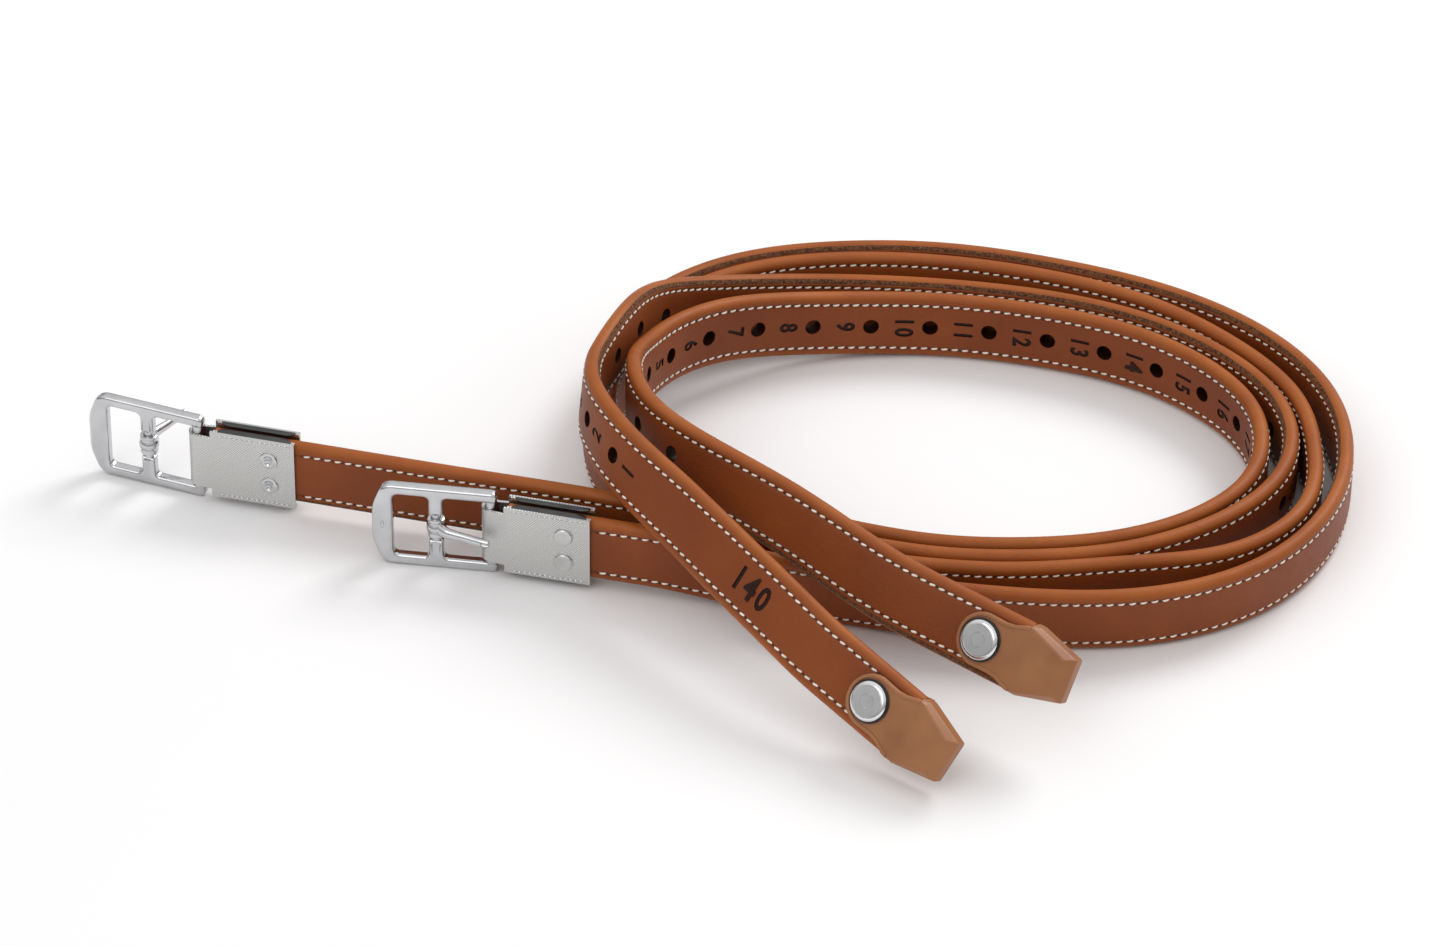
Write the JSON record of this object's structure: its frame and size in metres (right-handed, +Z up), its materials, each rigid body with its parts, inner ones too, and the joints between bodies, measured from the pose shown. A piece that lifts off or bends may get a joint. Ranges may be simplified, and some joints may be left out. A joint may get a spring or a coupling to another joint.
{
  "type": "pair of stirrup leathers",
  "caption": "Two wrapped, stitched leather straps with punched numbered holes, riveted steel sleeves, tongue buckles and moulded studded tips, coiled together on edge.",
  "frame": {"origin": "below the middle of the pair's bounding box, on the floor it stands on", "axes": "+Z up, square to the floor; +X along the long way of the coil, from the buckles to the closed bend; +Y to the back, away from the two tails"},
  "size_m": [0.388, 0.254, 0.0517],
  "materials": {
    "leather": "waxed cognac leather, off-white stitching lies on it",
    "webbing": "flat woven nylon",
    "thread": "waxed off-white sewing thread",
    "tip": "matte brown moulding",
    "chrome": "polished cap",
    "black": "gloss black ring",
    "steel": "turned steel",
    "sleeve": "satin steel sheet, finely knurled",
    "buckle": "satin stainless casting with polished edges"
  },
  "bodies": {
    "root": {"outer_leather_wrap": "leather", "outer_webbing_core": "webbing", "outer_face_stitching": "thread", "outer_back_stitching": "thread", "outer_moulded_tip": "tip", "outer_stud_caps": "chrome", "outer_stud_rings": "black", "outer_stud_post": "steel", "outer_steel_sleeve": "sleeve", "outer_sleeve_rivets": "steel", "inner_leather_wrap": "leather", "inner_webbing_core": "webbing", "inner_face_stitching": "thread", "inner_back_stitching": "thread", "inner_moulded_tip": "tip", "inner_stud_caps": "chrome", "inner_stud_rings": "black", "inner_stud_post": "steel", "inner_steel_sleeve": "sleeve", "inner_sleeve_rivets": "steel"},
    "outer_buckle": {"outer_buckle_frame": "buckle"},
    "outer_tongue": {"outer_buckle_tongue": "buckle"},
    "inner_buckle": {"inner_buckle_frame": "buckle"},
    "inner_tongue": {"inner_buckle_tongue": "buckle"}
  },
  "joints": [
    {"name": "outer_buckle_hinge", "type": "hinge", "parent": "root", "child": "outer_buckle", "pos_m": [-0.06912, -0.01663, 0.01479], "axis": [0.0072, -0.0018, 1], "range_deg": [-20, 15]},
    {"name": "outer_tongue_hinge", "type": "hinge", "parent": "outer_buckle", "child": "outer_tongue", "pos_m": [-0.08595, -0.01424, 0.01491], "axis": [0.0072, -0.0018, 1], "range_deg": [-140, 0]},
    {"name": "inner_buckle_hinge", "type": "hinge", "parent": "root", "child": "inner_buckle", "pos_m": [-0.15954, 0.02125, 0.01507], "axis": [0.0047, -0.0012, 1], "range_deg": [-15, 90]},
    {"name": "inner_tongue_hinge", "type": "hinge", "parent": "inner_buckle", "child": "inner_tongue", "pos_m": [-0.1754, 0.02738, 0.01516], "axis": [0.0047, -0.0012, 1], "range_deg": [-56, 85]}
  ]
}
